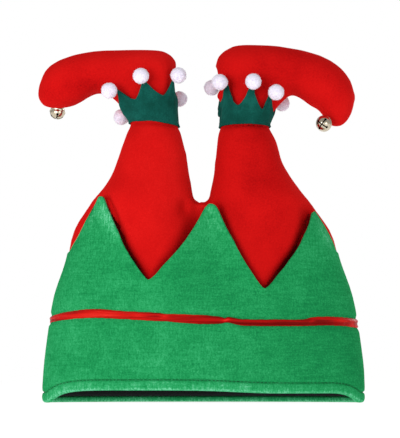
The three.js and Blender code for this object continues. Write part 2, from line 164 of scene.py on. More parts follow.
def read_curve(rows, at):
    """A table's other columns, on a smooth curve through its rows."""
    upper = stretch_of(rows, at)
    low, high = rows[upper - 1], rows[upper]
    before, after = rows[max(upper - 2, 0)], rows[min(upper + 1, len(rows) - 1)]
    span = high[0] - low[0]
    t = min(max((at - low[0]) / span, 0), 1)
    values = []
    for k in range(1, len(low)):
        leave = (high[k] - before[k]) / (high[0] - before[0]) * span
        arrive = (after[k] - low[k]) / (after[0] - low[0]) * span
        bend = 2 * low[k] - 2 * high[k] + leave + arrive
        turn = 3 * high[k] - 3 * low[k] - 2 * leave - arrive
        values.append(((bend * t + turn) * t + leave) * t + low[k])
    return values


def read_line(rows, at):
    """A table's second column, on straight lines between its rows."""
    upper = stretch_of(rows, at)
    low, high = rows[upper - 1], rows[upper]
    share = min(max((at - low[0]) / (high[0] - low[0]), 0), 1)
    return mix(low[1], high[1], share)


def hem_lift(around):
    return max(0, read_curve(HEM_LIFT, around)[0])


def body_point(around, height, offset, creased=False):
    """A point of the body, out from the crown's face. Towards the crotch it swells over two thighs."""
    axis, half_width, half_depth = read_curve(BODY, height)
    turn = math.radians(around)
    x = (half_width + offset) * math.sin(turn)
    oval = (half_depth + offset) * abs(math.cos(turn))
    across = (abs(x) - THIGH_CENTRE) / (THIGH_HALF_WIDTH + offset)
    thigh = (THIGH_HALF_DEPTH + offset) * math.sqrt(max(0, 1 - across * across))
    parted = max(thigh, oval)
    if creased and abs(x) < THIGH_CENTRE:
        parted = max(thigh, WEB_HALF_DEPTH + offset)
    depth = mix(oval, parted, smooth_step(height, THIGH_START, CROTCH_HEIGHT))
    settled = height + hem_lift(around) * (1 - smooth_step(height, HEM_ROLL, HEM_FADE))
    return Vector((axis + x, -math.copysign(depth, math.cos(turn)), settled)) * MM


def shade_softly(mesh):
    """Smooth shading over a whole mesh."""
    mesh.polygons.foreach_set("use_smooth", [True] * len(mesh.polygons))


def weld(shape):
    """Joins the points of a shape that lie on each other."""
    bmesh.ops.remove_doubles(shape, verts=shape.verts, dist=WELD * MM)


def link_mesh(name, shape):
    """A new object at the origin that holds a shape, with soft shading."""
    mesh = bpy.data.meshes.new(name)
    shape.to_mesh(mesh)
    shape.free()
    piece = bpy.data.objects.new(name, mesh)
    bpy.context.scene.collection.objects.link(piece)
    shade_softly(mesh)
    return piece


def settle(piece):
    """Applies a piece's modifiers to its mesh."""
    bpy.context.view_layer.update()
    graph = bpy.context.evaluated_depsgraph_get()
    finished = bpy.data.meshes.new_from_object(piece.evaluated_get(graph))
    piece.modifiers.clear()
    piece.data = finished
    shade_softly(finished)


def thicken(piece, name, thickness):
    """Gives a sheet its wall, in mm, inwards from the face that shows."""
    wall = piece.modifiers.new(name, "SOLIDIFY")
    wall.thickness = thickness * MM
    wall.offset = -1
    return wall


def linear(colour):
    """An sRGB hex colour as linear red, green, blue and alpha."""
    parts = [int(colour[i : i + 2], 16) / 255 for i in (1, 3, 5)]
    return [p / 12.92 if p <= 0.04045 else ((p + 0.055) / 1.055) ** 2.4 for p in parts] + [1]


def add_node(material, kind, settings, links=()):
    """Adds a node, sets its sockets, properties and colour stops, and links (socket, source) pairs to it."""
    node = material.node_tree.nodes.new(kind)
    for name, value in settings.items():
        if name == "stops":
            elements = node.color_ramp.elements
            while len(elements) < len(value):
                elements.new(1)
            for element, (position, colour) in zip(elements, value):
                element.position = position
                element.color = linear(colour)
        elif isinstance(name, int) or name[0].isupper():
            node.inputs[name].default_value = value
        else:
            setattr(node, name, value)
    for socket, source in links:
        output = source.outputs[0] if hasattr(source, "outputs") else source
        material.node_tree.links.new(output, node.inputs[socket])
    return node


def new_material(name):
    """An empty material, and its Object coordinates."""
    material = bpy.data.materials.new(name)
    material.use_nodes = True
    material.node_tree.nodes.clear()
    place = add_node(material, "ShaderNodeTexCoord", {}).outputs["Object"]
    return material, place


def grain(millimetres):
    """A noise scale whose features are that many millimetres wide, on coordinates in metres."""
    return 1 / (millimetres * MM)


def red_velour():
    """Short pile polyester velour: deep red and matt, and its upright pile keeps the turning sides bright.
    Patches of painted shade and painted light darken or lighten its colour.
    """
    material, place = new_material("red_velour")
    brushed = add_node(material, "ShaderNodeTexNoise", {"Scale": grain(26), "Detail": 3}, [("Vector", place)])
    # The real pile is finer than half a millimetre; here it is drawn coarser so that it shows.
    pile = add_node(material, "ShaderNodeTexNoise", {"Scale": grain(1.3), "Detail": 2}, [("Vector", place)])
    # The layer holds painted light and painted shade: patches, and the shade along the band's cut edge and
    # under the cuffs.
    nap = add_node(material, "ShaderNodeAttribute", {"attribute_name": "nap"}).outputs["Fac"]
    settings = {"operation": "MULTIPLY_ADD", 1: 0.45}
    brushed_and_painted = add_node(material, "ShaderNodeMath", settings, [(0, brushed), (2, nap)])
    both = add_node(material, "ShaderNodeMath", settings, [(0, pile), (2, brushed_and_painted)])
    # The darkest stops carry the painted shade along the band's cut edge and under the cuffs.
    stops = ((0, "#5A0405"), (0.1, "#A9090B"), (0.3, "#BE0F0F"), (0.45, "#C61211"), (0.7, "#D61A18"))
    shade = add_node(material, "ShaderNodeValToRGB", {"stops": stops}, [("Fac", both)])
    relief = add_node(material, "ShaderNodeBump", {"Strength": 0.3, "Distance": 0.3 * MM}, [("Height", pile)])
    shader = add_node(
        material,
        "ShaderNodeBsdfPrincipled",
        {
            "Roughness": 0.95,
            "Specular IOR Level": 0.03,
            "Sheen Weight": 0.5,
            "Sheen Roughness": 0.55,
            "Sheen Tint": linear("#D81814"),
        },
        [("Base Color", shade), ("Normal", relief)],
    )
    add_node(material, "ShaderNodeOutputMaterial", {}, [("Surface", shader)])
    return material


shape = bmesh.new()
bmesh.ops.create_grid(shape, x_segments=SKIN_COLUMNS, y_segments=SKIN_ROWS, size=0.5)
for vertex in shape.verts:
    height = mix(SKIN_LOWER_EDGE - SKIN_SPARE, CROTCH_HEIGHT + LEG_OVERLAP, vertex.co.y + 0.5)
    vertex.co = body_point(vertex.co.x * 360, height, 0, True)
weld(shape)
bmesh.ops.holes_fill(shape, edges=[edge for edge in shape.edges if edge.is_boundary], sides=0)
bmesh.ops.recalc_face_normals(shape, faces=shape.faces)
for leg in ("left_leg", "right_leg"):
    shape.from_mesh(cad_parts[leg].data)
weld(shape)
red_skin = link_mesh("red_skin", shape)
remesh = red_skin.modifiers.new("one_skin", "REMESH")
remesh.mode = "VOXEL"
remesh.voxel_size = SKIN_VOXEL * MM
settle(red_skin)

shape = bmesh.new()
shape.from_mesh(red_skin.data)
for _ in range(SMOOTHINGS):
    bmesh.ops.smooth_vert(
        shape, verts=shape.verts, factor=0.5, use_axis_x=True, use_axis_y=True, use_axis_z=True
    )
shape.to_mesh(red_skin.data)
shape.free()

start = [vertex.co.copy() for vertex in red_skin.data.vertices]
held = red_skin.vertex_groups.new(name="held")
for vertex in red_skin.data.vertices:
    height = vertex.co.z / MM
    below_points = 1 - smooth_step(height, *FREE_ABOVE_BAND)
    at_cuff = smooth_step(height, *HELD_AT_CUFF) - smooth_step(height, *FREE_ABOVE_CUFF)
    ankle = LEFT_ANKLE if vertex.co.x < 0 else RIGHT_ANKLE
    if abs(vertex.co.x - ankle * MM) > ANKLE_REACH * MM:
        at_cuff = 0
    held.add([vertex.index], max(below_points, at_cuff), "REPLACE")
cloth = red_skin.modifiers.new("stuffing", "CLOTH")
cloth.settings.quality = 5
cloth.settings.use_pressure = True
cloth.settings.uniform_pressure_force = STUFFING_PRESSURE
cloth.settings.effector_weights.gravity = 0
cloth.settings.vertex_group_mass = "held"
for step in range(1, STUFFING_STEPS + 1):
    bpy.context.scene.frame_set(step)
swollen = red_skin.evaluated_get(bpy.context.evaluated_depsgraph_get()).data
moved = [vertex.co.copy() for vertex in swollen.vertices]
red_skin.modifiers.clear()
red_skin.vertex_groups.clear()
bpy.context.scene.frame_set(1)
for vertex, before, after in zip(red_skin.data.vertices, start, moved):
    swell = after - before
    if swell.length > MOST_SWELL * MM:
        swell.length = MOST_SWELL * MM
    vertex.co = before + swell

finer = red_skin.modifiers.new("finer", "SUBSURF")
finer.levels = finer.render_levels = 1
settle(red_skin)
normals = [vertex.normal.copy() for vertex in red_skin.data.vertices]
places = [vertex.co / MM for vertex in red_skin.data.vertices]
for place, normal in zip(places, normals):
    limb = smooth_step(place.z, *FLAT_ABOVE) * (1 - smooth_step(place.z, *ROUND_ABOVE))
    place.y += math.copysign(PANEL_FLATNESS * abs(normal.x * normal.y) * limb, normal.y)
    for x, y, z, reach, *pull in PULLS:
        off = (place - Vector((x, y, z))).length / reach
        if off < PULL_END:
            place += Vector(pull) * math.exp(-((off * PULL_STEEPNESS) ** 2))
red_skin.data.vertices.foreach_set("co", [c * MM for place in places for c in place])
# Painted light and painted shade on the red skin: each patch darkens or lightens it where the light falls
# less or more.
painted_patches = [0.0] * len(places)
for x, z, wide, tall, amount in PAINTED_LIGHT_AND_SHADE_PATCHES:
    for i, place in enumerate(places):
        painted_patches[i] += amount * math.exp(-(((place.x - x) / wide) ** 2) - ((place.z - z) / tall) ** 2)
red_skin.data.attributes.new("nap", "FLOAT", "POINT").data.foreach_set("value", painted_patches)
shape = bmesh.new()
shape.from_mesh(red_skin.data)
bmesh.ops.bisect_plane(
    shape,
    geom=shape.verts[:] + shape.edges[:] + shape.faces[:],
    dist=WELD / 10 * MM,
    plane_co=(0, 0, SKIN_LOWER_EDGE * MM),
    plane_no=(0, 0, -1),
    clear_outer=True,
)
skin_surface = BVHTree.FromBMesh(shape)
shape.to_mesh(red_skin.data)
shape.free()
thicken(red_skin, "velour", SKIN_THICKNESS)
red_skin.data.materials.append(red_velour())
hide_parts("crown", "left_leg", "right_leg")
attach(red_skin, "root")

# The lining: a closed bag of thin black polyester that faces the head hollow. It is sewn in along the hem
# and hangs a little loose inside the crown.

LINING_EDGE = 5.2
LINING_OFFSET = -2.5
LINING_THICKNESS = 0.6
HOLLOW_TOP = 138.5
DOME_SPRING = 84
LINING_COLUMNS = 220
LINING_ROWS = 70
LINING_SLACK = 0.8
SLACK_FOLDS_PER_METRE = 40
LINING_HALF_DEPTH = 40


def black_lining():
    """Plain woven polyester: nearly black, with a slight sheen along its fine threads."""
    material, place = new_material("black_polyester")
    # The real threads are about a quarter of a millimetre apart; they are drawn coarser so that they show.
    weave = add_node(material, "ShaderNodeTexNoise", {"Scale": grain(0.9), "Detail": 2}, [("Vector", place)])
    stops = ((0.35, "#070A0B"), (0.7, "#14181A"))
    shade = add_node(material, "ShaderNodeValToRGB", {"stops": stops}, [("Fac", weave)])
    settings = {"Strength": 0.3, "Distance": 0.2 * MM}
    relief = add_node(material, "ShaderNodeBump", settings, [("Height", weave)])
    shader = add_node(
        material,
        "ShaderNodeBsdfPrincipled",
        {"Roughness": 0.65, "Specular IOR Level": 0.2},
        [("Base Color", shade), ("Normal", relief)],
    )
    add_node(material, "ShaderNodeOutputMaterial", {}, [("Surface", shader)])
    return material


# The lower half of the rows climbs the wall, and the upper half closes the dome.
shape = bmesh.new()
bmesh.ops.create_grid(shape, x_segments=LINING_COLUMNS, y_segments=LINING_ROWS, size=0.5)
for vertex in shape.verts:
    around = vertex.co.x * 360
    share = vertex.co.y + 0.5
    rise = max(0, (share - 0.5) * 2) * math.pi / 2
    height = mix(LINING_EDGE, DOME_SPRING, min(1, share * 2))
    height += (HOLLOW_TOP - DOME_SPRING) * math.sin(rise)
    point = body_point(around, height, LINING_OFFSET)
    slack = LINING_SLACK * noise.noise(point * SLACK_FOLDS_PER_METRE) * math.sin(math.pi * share)
    axis = read_curve(BODY, height)[0] * MM
    inwards = math.cos(rise) * (1 - abs(slack) / LINING_HALF_DEPTH)
    vertex.co = (axis + (point.x - axis) * inwards, point.y * inwards, point.z)
weld(shape)
lining = link_mesh("head_lining", shape)
thicken(lining, "cloth", LINING_THICKNESS)
lining.data.materials.append(black_lining())
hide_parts("lining")
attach(lining, "root")

# The green band: two equal panels of plush, cut in points along the top and seamed at the sides. Its lower
# edge is rolled to the inside and held by a line of stitching, and the cut edge shows the pale backing.

PLUSH_OUTER = 3.0
PLUSH_THICKNESS = 2.3
TURNED_FACE = -2.5
HEM_TURN = 4.5
HEM_CURL = 0.2
HEM_CURL_HEIGHT = 3.4
ROLL_DROP = 1.7
ROLL_STEPS = 8
STRAIGHT_TOP = 90
STRAIGHT_ROWS = 40
RIM_HALF_WIDTH = 134
RIM_HALF_DEPTH = 47
RIBBON_NIP = 1.8
NIP_SHARE = 0.6
NIP_MARGIN = 1
SIDE_SEAM = 0.7
SIDE_SEAM_REACH = 1.1
BAND_COLUMNS = 420
BAND_RISE_ROWS = 30

# Heights of the rows from the roll to just above the stitched groove, mm: they crowd at the groove
HEM_ROWS = (2.6, 3.5, 4.4, 5.3, 6.2, 7.0, 7.6, 8.1, 8.5, 8.8, 9.1, 9.5, 10.0, 10.7, 11.6, 12.6, 14)

# The roll's swell, the stitched groove and the rise above it: height, reach and amount in mm
HEM_RELIEF = (
    (4.6, 2.6, 0.7),
    (HEM_ROLL, 0.7, -1.5),
    (13, 4, 0.35),
)

# Soft waves and fine unevenness of the plush: amount in mm, pace by degrees, pace by mm up, layer of noise
UNEVEN = (
    (0.5, 0.05, 0.03, 3.7),
    (0.10, 1.1, 0.5, 9.1),
)

# The pointed top edge of one panel: degrees round from its middle, height in mm
PANEL_EDGE = (
    (-90, 128),
    (-80, 129),
    (-75.5, 131),
    (-73.1, 132.9),
    (-70.4, 137),
    (-67.7, 141.6),
    (-66.6, 148),
    (-65.9, 154),
    (-65.4, 161.8),
    (-65.5, 167.9),
    (-65.0, 171.6),
    (-63.8, 174.4),
    (-60.5, 175.3),
    (-59, 174.8),
    (-57.5, 173.3),
    (-52.7, 167.7),
    (-46.1, 159.1),
    (-41.5, 151.1),
    (-37.3, 142.8),
    (-33.9, 133.2),
    (-30.1, 123.7),
    (-27.4, 116.9),
    (-24.5, 109.6),
    (-20.9, 101.6),
    (-18.0, 106.8),
    (-15.8, 113.6),
    (-13.1, 119.9),
    (-10.1, 127.5),
    (-7.7, 134.2),
    (-5.3, 141.4),
    (-2.7, 149.5),
    (-0.8, 155.9),
    (1.3, 162.3),
    (2.8, 166.5),
    (3.5, 167.8),
    (5.3, 168.0),
    (6.8, 167.0),
    (7.8, 161.5),
    (8.8, 154.7),
    (10.1, 145.7),
    (12.1, 135.6),
    (14.2, 125.9),
    (16.2, 117),
    (18.3, 109.1),
    (20.4, 101.2),
    (22.8, 94.2),
    (26.2, 99.8),
    (29.2, 106.8),
    (32.9, 113.7),
    (36.4, 120.6),
    (40.1, 127.5),
    (43.8, 134.5),
    (47.6, 142),
    (53.1, 149.6),
    (58.9, 156.9),
    (63.4, 161.2),
    (66.9, 163.2),
    (71, 163.9),
    (72.4, 162.6),
    (72.8, 157),
    (73, 150),
    (73.2, 143.6),
    (74, 137.2),
    (76.9, 131),
    (80, 129),
    (90, 128),
)

# How far the cut edge stands off the crown, mm, by degrees round from a panel's middle
STAND_OFF = (
    (-90, -2.6),
    (-78, -2.2),
    (-72, -0.6),
    (-65, 0),
    (-58, 1.4),
    (-46, 2.2),
    (-36, 2.4),
    (-26, 2.8),
    (-20, 3.2),
    (-12, 2.4),
    (-6, -0.5),
    (-2, -4.0),
    (3, -7.5),
    (6, -6.5),
    (9, -2.5),
    (13, 2.6),
    (18, 3.4),
    (24, 3.2),
    (36, 2.4),
    (50, 2.0),
    (62, 1.8),
    (70, 0.4),
    (74, -0.6),
    (78, -2.0),
    (90, -2.6),
)

# How the crown sinks under the cut edge: degrees round from a panel's middle, depth and reach in mm, and how
# much painted shade darkens the red pile there
EDGE_SINK = (
    (-90, 0, 8, 0),
    (-64, 3.0, 5, 0.10),
    (-56, 4.4, 5, 0.15),
    (-38, 4.4, 5, 0.15),
    (-26, 4.2, 7, 0.25),
    (-20, 4.2, 10, 0.40),
    (-14, 5.4, 14, 0.50),
    (-6, 6.0, 15, 0.50),
    (-1, 5.0, 11, 0.35),
    (3, 4.0, 8, 0.20),
    (8, 4.6, 9, 0.25),
    (18, 4.6, 9, 0.25),
    (23, 4.2, 9, 0.35),
    (30, 4.2, 7, 0.35),
    (45, 4.6, 7, 0.20),
    (58, 5.0, 11, 0.24),
    (68, 4.6, 11, 0.22),
    (74, 2.0, 8, 0),
    (90, 0, 8, 0),
)

# The ribbon's middle line and width, mm, by degrees round from the front
RIBBON_LINE = (
    (-180, 70, 7.6),
    (-110, 70.5, 7.2),
    (-90, 71.0, 6.2),
    (-78, 71.6, 6.1),
    (-61, 73.8, 7.3),
    (-44, 75.0, 7.8),
    (-27, 72.8, 6.9),
    (-17, 71.6, 7.4),
    (-13.5, 71.0, 6.3),
    (-11, 70.7, 7.0),
    (-1, 69.4, 7.7),
    (6.6, 68.7, 5.8),
    (7.7, 68.6, 4.0),
    (8.8, 69.2, 5.0),
    (14, 67.0, 5.6),
    (31.5, 66.8, 5.6),
    (40, 67.2, 5.8),
    (44, 68.2, 7.4),
    (53, 68.8, 7.8),
    (65, 68.6, 7.7),
    (79, 67.8, 8.0),
    (110, 68.5, 7.8),
    (180, 70, 7.6),
)

# Where the pile is brushed paler or darker, with a painted highlight along the lit lower edge of the hem roll
# and painted shade low on the right and below the middle point: degrees round from the front, height in mm,
# reach round and reach up, and the amount
BRUSHED_AND_PAINTED_SHADING = (
    (-53, 165, 3.5, 6, 0.26),
    (-47, 157, 3.5, 6, 0.30),
    (-42.5, 149, 3.5, 6, 0.26),
    (-38.5, 140, 3.5, 7, 0.16),
    (-61, 172, 5, 7, 0.14),
    (-60, 157, 5, 9, 0.10),
    (4, 163, 4, 5, 0.10),
    (4, 150, 5, 10, 0.10),
    (66, 146, 6, 17, 0.14),
    (-22, 99, 9, 5, 0.10),
    (20, 93, 10, 5, 0.08),
    # Painted highlight along the lit lower edge of the hem roll, all the way round.
    (0, 0.8, 400, 1.4, 0.30),
    (0, 4.6, 400, 3.0, 0.12),
    # Painted shade, low on the right and below the middle point.
    (48, 50, 30, 60, -0.13),
    (-6, 104, 36, 20, -0.10),
)

# Where the cut edge shows its backing, by degrees round from a panel's middle; elsewhere the pile covers it
BARE_EDGE = (
    (-74, -67),
    (72.3, 77),
)


def panel_angle(around):
    return (around + 90) % 180 - 90


def ripple(around, pace, across, layer):
    """Noise that closes on itself round the hat; pace is its speed per degree."""
    turn = math.radians(around)
    circle = Vector((math.sin(turn), math.cos(turn), 0)) * math.degrees(pace)
    return noise.noise(circle + Vector((layer, layer, across)))


def edge_height(around):
    """The height of the band's cut edge, with its points and notches a little rounded."""
    near = (-0.8, -0.4, 0, 0.4, 0.8)
    return sum(read_line(PANEL_EDGE, panel_angle(around + step)) for step in near) / len(near)


def angle_of(point):
    """Degrees round from the front of a point near the crown's face."""
    axis, half_width, half_depth = read_curve(BODY, point.z / MM)
    return math.degrees(math.atan2((point.x / MM - axis) / half_width, -point.y / MM / half_depth))


def even_angles(count):
    """Angles that divide the body's outline into steps of equal length, from the back round to the back."""
    fine = 7200
    reach = [0]
    for i in range(fine):
        turn = math.radians(-180 + 360 * (i + 0.5) / fine)
        step = math.hypot(RIM_HALF_WIDTH * math.cos(turn), RIM_HALF_DEPTH * math.sin(turn))
        reach.append(reach[-1] + step)
    angles = []
    at = 0
    for k in range(count + 1):
        while at < fine and reach[at] < reach[-1] * k / count:
            at += 1
        angles.append(-180 + 360 * at / fine)
    return angles


def hem_profile():
    """Rows of the band's pile face from the turned-in edge round the roll to the straight part's top."""
    roll = (PLUSH_OUTER - TURNED_FACE) / 2
    middle = (PLUSH_OUTER + TURNED_FACE) / 2
    rows = [(HEM_TURN, TURNED_FACE), (HEM_CURL_HEIGHT, TURNED_FACE - HEM_CURL)]
    for i in range(ROLL_STEPS + 1):
        turn = math.pi * i / ROLL_STEPS
        rows.append((ROLL_DROP * (1 - math.sin(turn)), middle - roll * math.cos(turn)))
    rows += [(height, PLUSH_OUTER) for height in HEM_ROWS]
    for i in range(STRAIGHT_ROWS):
        rows.append((mix(HEM_ROWS[-1], STRAIGHT_TOP, (i + 1) / STRAIGHT_ROWS), PLUSH_OUTER))
    return rows


def band_offset(around, height, offset, rise):
    """A row's offset with the hem's relief, the ribbon's nip, the plush's waves and the seams added."""
    if offset == PLUSH_OUTER:
        for middle, reach, amount in HEM_RELIEF:
            offset += amount * math.exp(-(((height - middle) / reach) ** 2))
        line, width = read_curve(RIBBON_LINE, around)
        offset -= RIBBON_NIP * math.exp(-(((height - line) / (width * NIP_SHARE + NIP_MARGIN)) ** 4))
        for amount, pace, climb, layer in UNEVEN:
            offset += amount * ripple(around, pace, height * climb, layer)
        offset -= SIDE_SEAM * math.exp(-(((abs(around) - 90) / SIDE_SEAM_REACH) ** 2))
    return offset + rise * read_line(STAND_OFF, panel_angle(around))


def green_plush():
    """Green velvet plush: a dense pile with short flecks, paler where it has been brushed up, and a cream
    knitted backing where the cut edge is bare. Its flecks also carry a painted highlight along the hem roll's
    lower edge and painted shade low on the right and below the middle point."""
    material, place = new_material("green_plush")
    # The real pile is finer than half a millimetre; here it is drawn about twice as coarse so that it shows.
    pile = add_node(material, "ShaderNodeTexNoise", {"Scale": grain(1.1), "Detail": 3}, [("Vector", place)])
    leaning = add_node(
        material,
        "ShaderNodeMapping",
        {"Rotation": (0, math.radians(24), 0), "Scale": (1, 1, 0.3)},
        [("Vector", place)],
    )
    level = add_node(material, "ShaderNodeMapping", {"Scale": (0.12, 0.12, 1)}, [("Vector", place)])
    settings = {"Scale": grain(1.5), "Detail": 2}
    flecks = add_node(material, "ShaderNodeTexNoise", settings, [("Vector", leaning)])
    settings = {"Scale": grain(1.6), "Detail": 1}
    courses = add_node(material, "ShaderNodeTexNoise", settings, [("Vector", level)])
    clouds = add_node(material, "ShaderNodeTexNoise", {"Scale": grain(24), "Detail": 2}, [("Vector", place)])
    total = add_node(material, "ShaderNodeMath", {"operation": "MULTIPLY", 1: 0.33}, [(0, pile)])
    for source, weight in ((flecks, 0.21), (courses, 0.13), (clouds, 0.16)):
        settings = {"operation": "MULTIPLY_ADD", 1: weight}
        total = add_node(material, "ShaderNodeMath", settings, [(0, source), (2, total)])
    brushed = add_node(material, "ShaderNodeAttribute", {"attribute_name": "brushed"}).outputs["Fac"]
    # The brushed layer also holds a painted highlight along the hem roll and painted shade, shown through the
    # flecks.
    tips = add_node(material, "ShaderNodeMath", {"operation": "MULTIPLY"}, [(0, flecks), (1, brushed)])
    total = add_node(material, "ShaderNodeMath", {"operation": "ADD"}, [(0, total), (1, tips)])
    stops = (
        (0.30, "#107440"),
        (0.38, "#19864A"),
        (0.43, "#229154"),
        (0.50, "#2F9E61"),
        (0.64, "#66C394"),
    )
    shade = add_node(material, "ShaderNodeValToRGB", {"stops": stops}, [("Fac", total)])
    bare = add_node(material, "ShaderNodeAttribute", {"attribute_name": "bare"}).outputs["Fac"]
    backing = {"data_type": "RGBA", 7: linear("#D2C196")}
    shade = add_node(material, "ShaderNodeMix", backing, [(0, bare), (6, shade)]).outputs[2]
    settings = {"Strength": 0.4, "Distance": 0.35 * MM}
    relief = add_node(material, "ShaderNodeBump", settings, [("Height", pile)])
    shader = add_node(
        material,
        "ShaderNodeBsdfPrincipled",
        {
            "Roughness": 0.95,
            "Specular IOR Level": 0.04,
            "Sheen Weight": 0.25,
            "Sheen Roughness": 0.55,
            "Sheen Tint": linear("#2FA866"),
        },
        [("Base Color", shade), ("Normal", relief)],
    )
    add_node(material, "ShaderNodeOutputMaterial", {}, [("Surface", shader)])
    return material


profile = hem_profile()
rows_below = len(profile)
angles = even_angles(BAND_COLUMNS)
last_row = rows_below + BAND_RISE_ROWS - 1
shape = bmesh.new()
bmesh.ops.create_grid(shape, x_segments=BAND_COLUMNS, y_segments=last_row, size=0.5)
tone = shape.verts.layers.float.new("brushed")
backing = shape.verts.layers.float.new("bare")
for vertex in shape.verts:
    around = angles[round((vertex.co.x + 0.5) * BAND_COLUMNS)]
    row = round((vertex.co.y + 0.5) * last_row)
    rise = max(0, (row - rows_below + 1) / BAND_RISE_ROWS)
    height, offset = profile[min(row, rows_below - 1)]
    height = mix(height, edge_height(around), rise)
    if 0 < row < rows_below - 1 or rise:
        offset = band_offset(around, height, offset, smooth_step(rise, 0, 1))
    vertex.co = body_point(around, height, offset)
    # Brushed patches, with a painted highlight along the hem roll and patches of painted shade.
    for middle, level, wide, tall, amount in BRUSHED_AND_PAINTED_SHADING:
        off = ((around - middle) / wide) ** 2 + ((height - level) / tall) ** 2
        vertex[tone] += amount * math.exp(-off)
    bare = any(low < panel_angle(around) < high for low, high in BARE_EDGE)
    vertex[backing] = float(bare and row == last_row)
weld(shape)
band = link_mesh("green_band", shape)
band.data.materials.append(green_plush())
wall = thicken(band, "plush", PLUSH_THICKNESS)
wall.use_quality_normals = True
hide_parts("band")
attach(band, "root")

# Sewn down over soft stuffing, the band sinks into the crown along its cut edge, and painted shade
# darkens the red pile there.
# At the sides, where the edge runs level, it presses the crown in evenly.

SINK_UNDER = 2.5
SIDE_SINK = 2.5
EDGE_STEPS = 1800
CUT_EDGE_HEIGHTS = (86, 195)

# Where each change starts and is complete, as heights in mm or as how squarely a place faces front or back
SINK_ABOVE = (90, 116)
SINK_FACING = (0.25, 0.6)
SIDE_ABOVE = (88, 100)
SIDE_ENDS = (124, 131)
SIDE_FACING = (0.3, 0.55)


def facing_front(point):
    """A point laid flat on its own panel, the front one or the back one, so that depth doesn't count."""
    return Vector((point.x, math.copysign(1, point.y), point.z))


def sink_skin(depth_at):
    """Moves the red skin in along its normals, by a depth in mm for each place."""
    vertices = red_skin.data.vertices
    normals = [vertex.normal.copy() for vertex in vertices]
    places = [vertex.co.copy() for vertex in vertices]
    for i, (place, normal) in enumerate(zip(places, normals)):
        place -= normal * depth_at(i, place) * MM
    vertices.foreach_set("co", [c for place in places for c in place])


edge_angles = even_angles(EDGE_STEPS)
cut_edge = KDTree(len(edge_angles))
for i, around in enumerate(edge_angles):
    cut_edge.insert(facing_front(body_point(around, edge_height(around), 0)), i)
cut_edge.balance()
# The skin's layer of painted light and painted shade, which the band's edge and the cuffs' seams darken
# further.
nap = red_skin.data.attributes["nap"].data


def under_band(i, place):
    """How far a place of the crown sinks, in mm; painted shade darkens its pile as well."""
    height = place.z / MM
    lowest, highest = CUT_EDGE_HEIGHTS
    if not lowest < height < highest:
        return 0
    around = angle_of(place)
    facing = abs(math.cos(math.radians(around)))
    depth, reach, edge_painted_shade = read_curve(EDGE_SINK, panel_angle(around))
    near = cut_edge.find(facing_front(place))[2] / MM
    if height < edge_height(around):
        near = -min(near, SINK_UNDER)
    closeness = max(0, 1 - near / reach) ** 2
    # Painted shade along the cut edge, darker the closer the place lies to it.
    nap[i].value -= edge_painted_shade * closeness
    sink = depth * closeness * smooth_step(height, *SINK_ABOVE) * smooth_step(facing, *SINK_FACING)
    beside = SIDE_SINK * smooth_step(height, *SIDE_ABOVE) * (1 - smooth_step(height, *SIDE_ENDS))
    return sink + beside * (1 - smooth_step(facing, *SIDE_FACING))


sink_skin(under_band)

# The hem's stitching: one line of dark green polyester thread that runs round the hat in the groove above the
# roll. It is sewn by machine and holds the turned-in edge of the plush.

HEM_GIRTH = 612
STITCH_PITCH = 3.3
STITCH_SINK = 1.05
STITCH_LENGTH = 2.7
STITCH_WIDTH = 0.55


def green_thread():
    """Spun polyester thread, a deeper green than the plush."""
    material, place = new_material("green_thread")
    ply = add_node(material, "ShaderNodeTexNoise", {"Scale": grain(0.4), "Detail": 1}, [("Vector", place)])
    stops = ((0.3, "#0E4A2C"), (0.7, "#1B6C42"))
    shade = add_node(material, "ShaderNodeValToRGB", {"stops": stops}, [("Fac", ply)])
    shader = add_node(
        material,
        "ShaderNodeBsdfPrincipled",
        {"Roughness": 0.7, "Specular IOR Level": 0.2},
        [("Base Color", shade)],
    )
    add_node(material, "ShaderNodeOutputMaterial", {}, [("Surface", shader)])
    return material


groove = PLUSH_OUTER - STITCH_SINK
stitch_count = round(HEM_GIRTH / STITCH_PITCH)
stitch_angles = even_angles(stitch_count * 2)
shape = bmesh.new()
for k in range(stitch_count):
    here = stitch_angles[2 * k]
    ahead = stitch_angles[2 * k + 1]
    at = body_point(here, HEM_ROLL, groove)
    along = (body_point(ahead, HEM_ROLL, groove) - at).normalized()
    out = (body_point(here, HEM_ROLL, groove + 1) - at).normalized()
    up = out.cross(along).normalized()
    out = along.cross(up)
    turn = Matrix((along, up, out)).transposed().to_4x4()
    size = Matrix.Diagonal((STITCH_LENGTH / 2 * MM, STITCH_WIDTH / 2 * MM, STITCH_WIDTH / 2 * MM, 1))
    bmesh.ops.create_icosphere(shape, subdivisions=1, radius=1, matrix=Matrix.Translation(at) @ turn @ size)
stitches = link_mesh("hem_stitches", shape)
stitches.data.materials.append(green_thread())
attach(stitches, "root")

# The ribbon: a 10 mm satin ribbon sewn round the band. Its sewing line draws it in lengthwise, so it is
# creased to about 8 mm and puckers in a few places.

RIBBON_OFFSET = 2.6
RIBBON_THICKNESS = 0.35
RIBBON_COLUMNS = 560
RIBBON_ROWS = 12
CREASE = 0.5
CREASE_PACE = 4.2
CREASE_DRIFT = 2.2
CRUMPLE = 0.35
EDGE_TUCK = 1.1
EDGE_WANDER = 0.25
FOLD_WIDTH = 0.5

# Painted highlight and painted shade on the satin, by degrees round from the front: brightest on the left,
# darkest towards the right
PAINTED_GLEAM = (
    (-180, 0),
    (-120, 0.05),
    (-85, 0.08),
    (-50, 0.08),
    (-30, 0.05),
    (-10, 0.01),
    (11, -0.03),
    (40, -0.08),
    (60, -0.02),
    (80, 0),
    (180, 0),
)

# Single folds that catch the light or lie in shade: degrees round, place across from -1 to 1, reach, amount
FOLDS = (
    (-48, -0.3, 18, 0.12),
    (-24, 0.2, 3.0, 0.14),
    (-14, 0.3, 1.6, 0.22),
    (8.2, 0.0, 1.1, 0.40),
    (28, -0.4, 16, -0.14),
    (43, 0.0, 1.6, 0.16),
    (62, 0.2, 6.0, 0.14),
    (73, -0.3, 3.0, 0.20),
)


